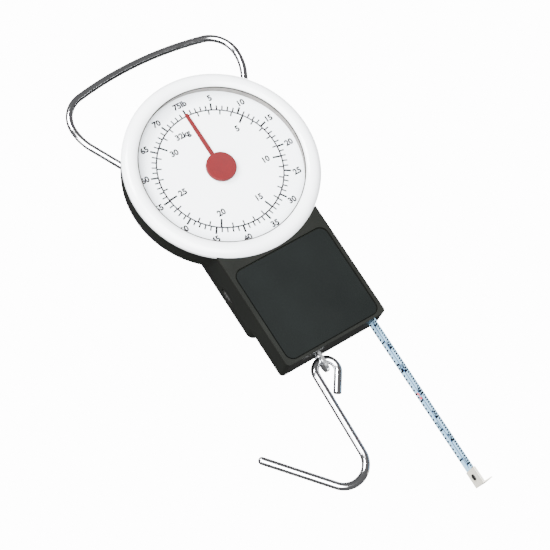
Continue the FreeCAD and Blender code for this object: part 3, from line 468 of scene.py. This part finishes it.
# ------------------------------------------------------------------ pieces
class SCALE_OT_finishes(bpy.types.Operator):
    """Give every carried-over node its finish"""
    bl_idname = "scale.finishes"
    bl_label = "Finishes"

    def execute(self, context):
        black = black_plastic()
        white = white_gloss()
        bright = metal("bright steel", (0.42, 0.43, 0.44), (0.62, 0.63, 0.64), 0.26, (1.0, 1.0, 0.1))
        screw = metal("dark screw steel", (0.03, 0.03, 0.03), (0.08, 0.08, 0.085), 0.34)
        brass = metal("turned brass", (0.60, 0.43, 0.18), (0.78, 0.60, 0.30), 0.24, (1.0, 0.1, 1.0))
        spring = metal("oiled spring steel", (0.22, 0.22, 0.22), (0.45, 0.45, 0.46), 0.28)
        nickel = metal("worn nickel", (0.66, 0.62, 0.52), (0.80, 0.77, 0.68), 0.34, (1.0, 0.15, 1.0), bare=0.35)
        # Painted shade: the spacer's dark brown-grey stands in for the shadow in the recess between the bezel and
        # the dial.
        shaded_spacer = metal("spacer ring", (0.10, 0.09, 0.08), (0.22, 0.2, 0.18), 0.35)
        grey = grey_plastic()
        red = red_plastic()
        wire = chrome()
        finishes = {
            "bail_handle": wire, "hook": wire, "front_case": black, "rear_case": black,
            "front_panel": panel_plastic(), "bezel_ring": white, "dial_spacer": shaded_spacer,
            "dial_plate": dial_paper(), "dial_window": clear_window(), "pointer": red, "pointer_hub": red,
            "case_screws": screw, "chassis_screws": screw, "pinion": brass, "front_bushing": brass,
            "rear_bushing": brass, "return_spring": spring, "axle_clip": spring, "zero_wheel": grey,
            "reel_drum": grey, "tape_coil": tape_paint(), "tape_end_hook": nickel, "tape_rivet": screw,
            "tape_brake": felt(),
        }
        for node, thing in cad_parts.items():
            material = finishes.get(node, bright)
            thing.data.materials.clear()
            thing.data.materials.append(material)
        return {"FINISHED"}


class SCALE_OT_dial(bpy.types.Operator):
    """Print the pound and kilogram rings and their numbers on the dial"""
    bl_idname = "scale.dial"
    bl_label = "Dial Print"

    def execute(self, context):
        sizes = context.scene.scale_dial
        black = ink("dial ink", (0.003, 0.003, 0.004))
        circle = sizes.pound_radius
        line = sizes.line_width
        pound = 2 * math.pi / sizes.pounds
        kilogram = pound / POUND_IN_KILOGRAMS
        marks = [
            ("pound_marks", sizes.pounds, pound, circle, 1.9 * MM, line),
            ("five_pound_marks", sizes.pounds // 5, pound * 5, circle, 2.8 * MM, line * 1.3),
            ("kilogram_marks", 33, kilogram, circle - 1.9 * MM, 1.9 * MM, line),
            ("five_kilogram_marks", 7, kilogram * 5, circle - 3.4 * MM, 3.4 * MM, line * 1.3),
        ]
        for name, count, step, inner, length, width in marks:
            finish_piece(fan_of_marks(name, count, step, inner, length, width, black), "case")
        printed = wire_ring("printed_circle", circle, line, 180, 6, black)
        flatten = Matrix.Diagonal((1.0, 0.08, 1.0, 1.0))
        printed.data.transform(Matrix.Translation(PRINT_SPOT) @ flatten)
        finish_piece(printed, "case")
        # Painted shadow: a dark ring just inside the window's edge stands in for the shade under the bezel's
        # inner lip.
        shadow = ink("rim shadow", (0.03, 0.028, 0.026))
        painted_rim_shade = wire_ring("window_rim_shadow", DIAL_RADIUS * 0.949, 0.56 * MM, 160, 8, shadow)
        window_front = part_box("dial_window")[0][1]
        painted_rim_shade.data.transform(Matrix.Translation((DIAL_CENTRE.x, window_front - 0.5 * MM, DIAL_CENTRE.z)))
        finish_piece(painted_rim_shade, "case")
        numbers = []
        face = Matrix.Rotation(QUARTER_TURN, 4, "X")
        outer, inner = 28.9 * MM, 17.9 * MM
        labels = [(f"{mark}", pound * mark, outer) for mark in range(5, sizes.pounds, 5)]
        labels += [(f"{sizes.pounds}lb", 0.0, outer)]
        labels += [(f"{mark}", kilogram * mark, inner) for mark in range(5, 31, 5)]
        labels += [("32kg", 2 * math.pi - 0.3, inner + 0.5 * MM)]
        for text, turn, reach in labels:
            mesh = letters(text, sizes.number_height, black)
            spot = PRINT_SPOT + Vector((reach * math.sin(turn), 0.0, reach * math.cos(turn)))
            mesh.transform(Matrix.Translation(spot) @ face)
            numbers.append(mesh)
        finish_piece(joined("dial_numbers", numbers), "case")
        return {"FINISHED"}


def end_loop(spot, radius, wire, material):
    """A round wire loop that stands at a spot and faces the dial's reader."""
    bpy.ops.mesh.primitive_torus_add(major_radius=radius, minor_radius=wire, major_segments=36, minor_segments=10)
    maker = bpy.context.object
    mesh = maker.data
    bpy.data.objects.remove(maker)
    mesh.transform(Matrix.Translation(spot) @ Matrix.Rotation(QUARTER_TURN, 4, "X"))
    mesh.materials.append(material)
    return mesh


class SCALE_OT_springs(bpy.types.Operator):
    """Wind the two draw springs that stretch between the anchor and the draw plate"""
    bl_idname = "scale.springs"
    bl_label = "Draw Springs"

    def execute(self, context):
        steel = metal("wound spring steel", (0.25, 0.25, 0.25), (0.5, 0.5, 0.51), 0.22)
        anchor, stud = middle("anchor_studs"), middle("spring_studs")
        for node in ("load_spring_left", "load_spring_right"):
            centre = middle(node)
            low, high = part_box(node)
            wire = (high[0] - low[0]) / 9  # the coil is nine wire radii wide
            loop = wire * 3.1
            coil_start = stud.z + loop + wire * 1.2
            height = (anchor.z - stud.z) - 2 * (loop + wire * 1.2)
            tree = Tree(node, {"Height": ("NodeSocketFloat", height), "Turns": ("NodeSocketFloat", 36.0),
                               "Radius": ("NodeSocketFloat", wire * 3.5), "Wire": ("NodeSocketFloat", wire)})
            coil = tree.node("GeometryNodeCurveSpiral", {}, {
                "Resolution": 18, "Rotations": tree.size("Turns"), "Start Radius": tree.size("Radius"),
                "End Radius": tree.size("Radius"), "Height": tree.size("Height")})["Curve"]
            profile = tree.node("GeometryNodeCurvePrimitiveCircle", {}, {"Resolution": 8,
                                                                         "Radius": tree.size("Wire")})["Curve"]
            body = tree.node("GeometryNodeCurveToMesh", {}, {"Curve": coil, "Profile Curve": profile,
                                                             "Fill Caps": True})["Mesh"]
            piece = tree.mesh(node + "_coils", body, steel)
            coils = piece.data
            coils.transform(Matrix.Translation((centre.x, centre.y, coil_start)))
            bpy.data.objects.remove(piece)
            lower_loop = end_loop((centre.x, centre.y, stud.z), loop, wire, steel)
            piece = joined(node + "_coils", [coils, lower_loop])
            loop_mesh = end_loop((centre.x, centre.y, anchor.z), loop, wire, steel)
            upper_loop = new_object(node + "_upper_loop", loop_mesh)
            smooth(upper_loop)
            finish_piece(upper_loop, "anchor")
            smooth(piece)
            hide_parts(node)
            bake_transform(piece)
        return {"FINISHED"}


def blade_strip(low, high, across, along):
    """A closed thin strip that fills a box, cut along and across so that it can stretch."""
    vertices, faces = [], []
    for row in range(along + 1):
        z = high.z + (low.z - high.z) * row / along
        for side in (low.x, high.x):
            for column in range(across + 1):
                vertices.append((side, low.y + (high.y - low.y) * column / across, z))
    ring = 2 * (across + 1)
    for row in range(along):
        start, below = row * ring, (row + 1) * ring
        for column in range(across):
            faces.append((start + column, start + column + 1, below + column + 1, below + column))
            left, right = start + across + 1 + column, below + across + 1 + column
            faces.append((left + 1, left, right, right + 1))
        faces.append((start + across + 1, start, below, below + across + 1))
        faces.append((start + across, start + ring - 1, below + ring - 1, below + across))
    for first in (0, along * ring):
        edge = list(range(first, first + across + 1)) + list(range(first + ring - 1, first + across, -1))
        faces.append(edge if first else edge[::-1])
    mesh = bpy.data.meshes.new("blade_strip")
    mesh.from_pydata(vertices, [], faces)
    return mesh


def tape_label(text, height, spot, material):
    """A word printed on the tape's left side."""
    mesh = letters(text, height, material)
    turned = Matrix.Rotation(-QUARTER_TURN, 4, "Z") @ Matrix.Rotation(QUARTER_TURN, 4, "X")
    mesh.transform(Matrix.Translation(spot) @ turned)
    return mesh


class SCALE_OT_tape(bpy.types.Operator):
    """Make the printed blade of the tape measure"""
    bl_idname = "scale.tape"
    bl_label = "Tape Blade"

    def execute(self, context):
        sizes = context.scene.scale_tape
        black = ink("tape ink", (0.004, 0.004, 0.008))
        red = ink("tape red ink", (0.55, 0.04, 0.05))
        blue = ink("tape blue ink", (0.01, 0.05, 0.14))
        low, high = (Vector(corner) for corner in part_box("tape_blade"))
        mesh = blade_strip(low, high, 8, 120)
        mesh.materials.append(tape_paint())
        blade = new_object("blade_strip", mesh)
        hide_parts("tape_blade")
        pieces = [blade]
        zero = low.z - 1.7 * MM  # where the tape measures from, at the end hook
        face = low.x - 0.015 * MM
        front_edge, rear_edge = low.y + 0.15 * MM, high.y - 0.15 * MM
        first, last = 8, 95  # millimetres from the zero
        inch_start = Vector((face, rear_edge, zero + INCH / 2 * MM))
        rows = [
            ("millimetre_marks", last - first, MM, 1.9 * MM, 0.6 * MM,
             Vector((face, front_edge, zero + first * MM)), True),
            ("centimetre_marks", 9, 10 * MM, 3.6 * MM, 0.7 * MM,
             Vector((face, front_edge, zero + 10 * MM)), True),
            ("inch_marks", 6, INCH / 2 * MM, 3.6 * MM, 0.7 * MM, inch_start, False),
            ("fine_inch_marks", 50, INCH / 16 * MM, 1.8 * MM, 0.7 * MM, inch_start, False),
        ]
        for name, count, step, length, width, start, front in rows:
            pieces.append(row_of_marks(name, count, step, length, width, start, black, front))
        y, half = (low.y + high.y) / 2, 0.3 * MM
        bottom = low.z + 7 * MM
        middle_line = bpy.data.meshes.new("middle_line")
        middle_line.from_pydata([(face, y - half, bottom), (face, y + half, bottom),
                                 (face, y + half, high.z), (face, y - half, high.z)], [], [(0, 3, 2, 1)])
        middle_line.materials.append(blue)
        pieces.append(new_object("middle_line", middle_line))
        metric, imperial = low.y + 2.7 * MM, high.y - 2.6 * MM
        tall = sizes.number_height
        labels = [(f"{mark}", tall, metric, mark * 10 + 1.5) for mark in range(1, 9)]
        labels += [(f"{mark}", tall * 1.1, imperial, mark * INCH + 1.8) for mark in range(1, 4)]
        numbers = [tape_label(text, height, (face, place, zero + reach * MM), black)
                   for text, height, place, reach in labels]
        red_number = tape_label("2", tall, (face, imperial, zero + 40 * MM), red)
        pieces += [new_object("tape_red_number", red_number), joined("tape_numbers", numbers)]
        for piece in pieces:
            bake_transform(piece)
        return {"FINISHED"}


def make_lamps(key_power):
    """Soft square lamps that look at the scale."""
    lamps = [("key", (-0.45, -0.75, 0.55), 0.5, key_power), ("fill", (-0.9, -0.45, -0.1), 0.4, 9.0),
             ("back", (0.7, 0.8, 0.3), 0.7, 24.0)]
    for name, place, width, power in lamps:
        data = bpy.data.lights.new(name, "AREA")
        data.size, data.energy = width, power
        lamp = new_object(name, data)
        lamp.location = place
        lamp.rotation_euler = (SCALE_MIDDLE - Vector(place)).to_track_quat("-Z", "Y").to_euler()


def make_world(scene, backdrop, front_light):
    """Dark surroundings with one round light behind the camera, and a plain backdrop to the camera's eye."""
    world = bpy.data.worlds.new("studio")
    scene.world = world
    world.use_nodes = True
    tree = world.node_tree
    tree.nodes.clear()
    output = tree.nodes.new("ShaderNodeOutputWorld")
    seen = Shader.add(tree, "ShaderNodeBackground", {}, {"Color": (*backdrop, 1.0), "Strength": 14.0})
    way = Shader.add(tree, "ShaderNodeTexCoord", {}, {}, "Generated")
    view = (CAMERA_SPOT - SCALE_MIDDLE).normalized()
    facing = Shader.add(tree, "ShaderNodeVectorMath", {"operation": "DOT_PRODUCT"}, {0: way, 1: view}, "Value")
    bands = tree.nodes.new("ShaderNodeValToRGB")
    tree.links.new((facing * 0.5 + 0.5).link, bands.inputs["Fac"])
    stops = [(0.0, 0.006), (0.935, 0.006), (0.955, 1.0), (1.0, 1.0)]
    ramp = bands.color_ramp
    for position, _value in stops[1:-1]:
        ramp.elements.new(position)
    for element, (position, value) in zip(ramp.elements, stops):
        element.position = position
        element.color = (value, value, value, 1.0)
    glow = Socket(tree, bands.outputs["Color"])
    lit = Shader.add(tree, "ShaderNodeBackground", {}, {"Color": glow, "Strength": front_light})
    ray = Shader.add(tree, "ShaderNodeLightPath", {}, {}, "Is Camera Ray")
    mixed = Shader.add(tree, "ShaderNodeMixShader", {}, {0: ray, 1: lit, 2: seen})
    tree.links.new(mixed.link, output.inputs["Surface"])


def make_camera(scene):
    """A long lens below and to the left of the dial, tilted to one side."""
    data = bpy.data.cameras.new("camera")
    data.lens, data.sensor_width = LENS, SENSOR
    camera = new_object("camera", data)
    right = CAMERA_RIGHT.normalized()
    back = right.cross(CAMERA_UP).normalized()
    turn = Matrix((right, back.cross(right), back)).transposed().to_4x4()
    camera.matrix_world = Matrix.Translation(CAMERA_SPOT) @ turn
    scene.camera = camera


class SCALE_OT_stage(bpy.types.Operator):
    """Set the soft lights, the surroundings and the camera"""
    bl_idname = "scale.stage"
    bl_label = "Stage"

    def execute(self, context):
        sizes = context.scene.scale_stage
        make_lamps(sizes.key_power)
        make_world(context.scene, sizes.backdrop, sizes.front_light)
        make_camera(context.scene)
        return {"FINISHED"}


class SCALE_PT_panel(bpy.types.Panel):
    """Sidebar panel with one button for each group of pieces"""
    bl_label = "Hanging Spring Scale"
    bl_idname = "SCALE_PT_panel"
    bl_space_type = "VIEW_3D"
    bl_region_type = "UI"
    bl_category = "Scale"

    def draw(self, context):
        """List every operator, then every size."""
        for operator in OPERATORS:
            self.layout.operator(operator.bl_idname)
        for group in (context.scene.scale_dial, context.scene.scale_tape, context.scene.scale_stage):
            for word in group.bl_rna.properties.keys():
                if word not in ("rna_type", "name"):
                    self.layout.prop(group, word)


OPERATORS = (SCALE_OT_finishes, SCALE_OT_dial, SCALE_OT_springs, SCALE_OT_tape, SCALE_OT_stage)
CLASSES = (ScaleDialSettings, ScaleTapeSettings, ScaleStageSettings, *OPERATORS, SCALE_PT_panel)


def register():
    for item in CLASSES:
        bpy.utils.register_class(item)
    bpy.types.Scene.scale_dial = PointerProperty(type=ScaleDialSettings)
    bpy.types.Scene.scale_tape = PointerProperty(type=ScaleTapeSettings)
    bpy.types.Scene.scale_stage = PointerProperty(type=ScaleStageSettings)


def unregister():
    del bpy.types.Scene.scale_stage
    del bpy.types.Scene.scale_tape
    del bpy.types.Scene.scale_dial
    for item in reversed(CLASSES):
        bpy.utils.unregister_class(item)


def main():
    register()
    for operator in OPERATORS:
        group, name = operator.bl_idname.split(".")
        getattr(getattr(bpy.ops, group), name)()


if __name__ == "__main__":
    main()
